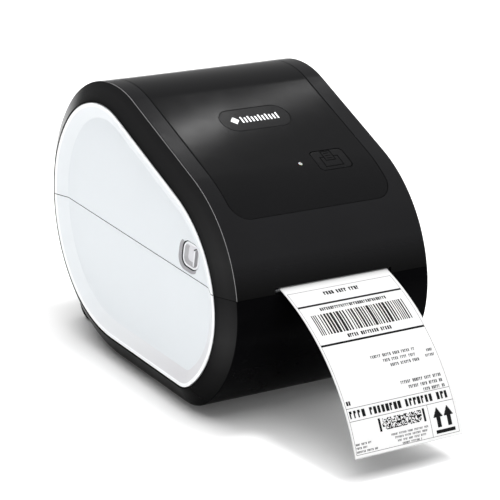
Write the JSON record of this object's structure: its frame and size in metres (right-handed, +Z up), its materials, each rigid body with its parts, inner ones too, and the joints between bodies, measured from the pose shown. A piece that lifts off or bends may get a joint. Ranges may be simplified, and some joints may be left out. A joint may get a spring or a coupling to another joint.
{
  "type": "thermal label printer",
  "caption": "Desktop label printer: round-backed black clamshell, white dished side covers, glossy top panel with button, label drooping from the front slot, roll and feed gears inside.",
  "frame": {"origin": "centre of the bounding box in X and Y (the printer with its hanging label), at the table under the feet", "axes": "+X across the printer, from the viewer's left to right when facing its front; +Y to the back, along the longest extent; +Z up; the label comes out towards -Y"},
  "size_m": [0.202, 0.3589, 0.2128],
  "materials": {
    "shell_black": "satin moulded ABS",
    "panel_black": "gloss",
    "badge_grey": "satin, blank",
    "cover_white": "gloss, cool white",
    "latch_grey": "satin",
    "button_black": "satin",
    "frame_grey": "satin",
    "rubber": "matt",
    "platen_rubber": "ground",
    "steel": "brushed",
    "screw_steel": "plated",
    "aluminium": "extruded",
    "ceramic": "glazed line",
    "motor_can": "satin",
    "gear_plastic": "natural acetal",
    "brass": "machined",
    "board_green": "solder mask",
    "lens": "frosted",
    "holder_green": "satin",
    "paper": "coated label stock",
    "core_board": "wound"
  },
  "bodies": {
    "base": {"base_shell": "shell_black", "rear_legs": "shell_black", "bottom_plate": "shell_black", "rubber_feet": "rubber", "case_screws": "screw_steel", "lower_cover_left": "cover_white", "lower_cover_right": "cover_white", "port_surround": "shell_black", "rear_panel": "shell_black", "dc_jack": "shell_black", "usb_port": "steel", "switch_housing": "shell_black", "main_board": "board_green", "board_screws": "screw_steel", "media_tray": "frame_grey", "holder_track": "frame_grey", "label_strip": "paper", "feed_frame": "frame_grey", "platen_bushes": "gear_plastic", "idler_pin": "steel", "drive_motor": "motor_can", "motor_screws": "screw_steel", "tear_bar": "steel", "label_sensor": "shell_black", "hinge_brackets": "frame_grey", "hinge_pins": "steel", "latch_strikers": "steel"},
    "lid": {"lid_shell": "shell_black", "upper_cover_left": "cover_white", "upper_cover_right": "cover_white", "lid_frame": "frame_grey", "top_panel": "panel_black", "badge_plate": "badge_grey", "button_board": "board_green", "led_lens": "lens", "head_rod": "steel", "latch_springs": "screw_steel", "head_springs": "screw_steel"},
    "feed_button": {"feed_button": "button_black"},
    "print_head": {"print_head": "ceramic", "heat_sink": "aluminium", "head_carrier": "steel", "head_screws": "screw_steel"},
    "latch_left": {"latch_button_left": "latch_grey"},
    "latch_right": {"latch_button_right": "latch_grey"},
    "platen": {"platen_shaft": "steel", "platen_rubber": "platen_rubber", "platen_gear": "gear_plastic"},
    "idler": {"idler_gear": "gear_plastic"},
    "motor_pinion": {"motor_pinion": "brass"},
    "label_roll": {"label_roll": "paper", "roll_core": "core_board"},
    "holder_left": {"roll_holder_left": "holder_green"},
    "holder_right": {"roll_holder_right": "holder_green"},
    "holder_pinion": {"holder_pinion": "gear_plastic"},
    "power_rocker": {"power_rocker": "button_black"}
  },
  "joints": [
    {"name": "lid_hinge", "type": "hinge", "parent": "base", "child": "lid", "pos_m": [0, 0.1765, 0.106], "axis": [-1, 0, 0], "range_deg": [0, 85]},
    {"name": "feed_button_press", "type": "slide", "parent": "lid", "child": "feed_button", "axis": [0, 0.3502, -0.9367], "range_m": [0, 0.0008], "stiffness_N_per_m": 500, "springref_m": -0.0008},
    {"name": "head_tilt", "type": "hinge", "parent": "lid", "child": "print_head", "pos_m": [0, -0.02399, 0.12984], "axis": [-1, 0, 0], "range_deg": [0, 3], "stiffness_Nm_per_rad": 2, "springref_deg": -5.73, "deforming": ["head_springs"]},
    {"name": "latch_left_press", "type": "slide", "parent": "lid", "child": "latch_left", "axis": [1, 0, 0], "range_m": [0, 0.003], "stiffness_N_per_m": 600, "springref_m": -0.002, "deforming": ["latch_springs"]},
    {"name": "latch_right_press", "type": "slide", "parent": "lid", "child": "latch_right", "axis": [-1, 0, 0], "range_m": [0, 0.003], "stiffness_N_per_m": 600, "springref_m": -0.002},
    {"name": "platen_spin", "type": "hinge", "parent": "base", "child": "platen", "pos_m": [0, -0.04586, 0.10713], "axis": [1, 0, 0], "continuous": true},
    {"name": "idler_spin", "type": "hinge", "parent": "base", "child": "idler", "pos_m": [0.064, -0.04115, 0.08045], "axis": [1, 0, 0], "continuous": true},
    {"name": "motor_spin", "type": "hinge", "parent": "base", "child": "motor_pinion", "pos_m": [0.064, -0.02422, 0.06624], "axis": [1, 0, 0], "continuous": true},
    {"name": "label_roll_spin", "type": "hinge", "parent": "base", "child": "label_roll", "pos_m": [0, 0.062, 0.092], "axis": [1, 0, 0], "continuous": true},
    {"name": "holder_left_slide", "type": "slide", "parent": "base", "child": "holder_left", "axis": [-1, 0, 0], "range_m": [0, 0.016], "stiffness_N_per_m": 60, "springref_m": -0.01},
    {"name": "holder_right_slide", "type": "slide", "parent": "base", "child": "holder_right", "axis": [1, 0, 0], "range_m": [0, 0.016]},
    {"name": "holder_pinion_turn", "type": "hinge", "parent": "base", "child": "holder_pinion", "pos_m": [0, 0.062, 0.03], "axis": [0, 0, 1], "range_deg": [-120, 120]},
    {"name": "power_rocker_tilt", "type": "hinge", "parent": "base", "child": "power_rocker", "pos_m": [0.028, 0.145, 0.07], "axis": [0, 0, 1], "range_deg": [0, 14]}
  ],
  "couplings": [
    {"joint": "idler_spin", "follows": "platen_spin", "ratio": -0.8},
    {"joint": "motor_spin", "follows": "platen_spin", "ratio": 1.7143},
    {"joint": "holder_right_slide", "follows": "holder_left_slide", "ratio": 1},
    {"joint": "holder_pinion_turn", "follows": "holder_left_slide", "rad_per_m": -125}
  ]
}
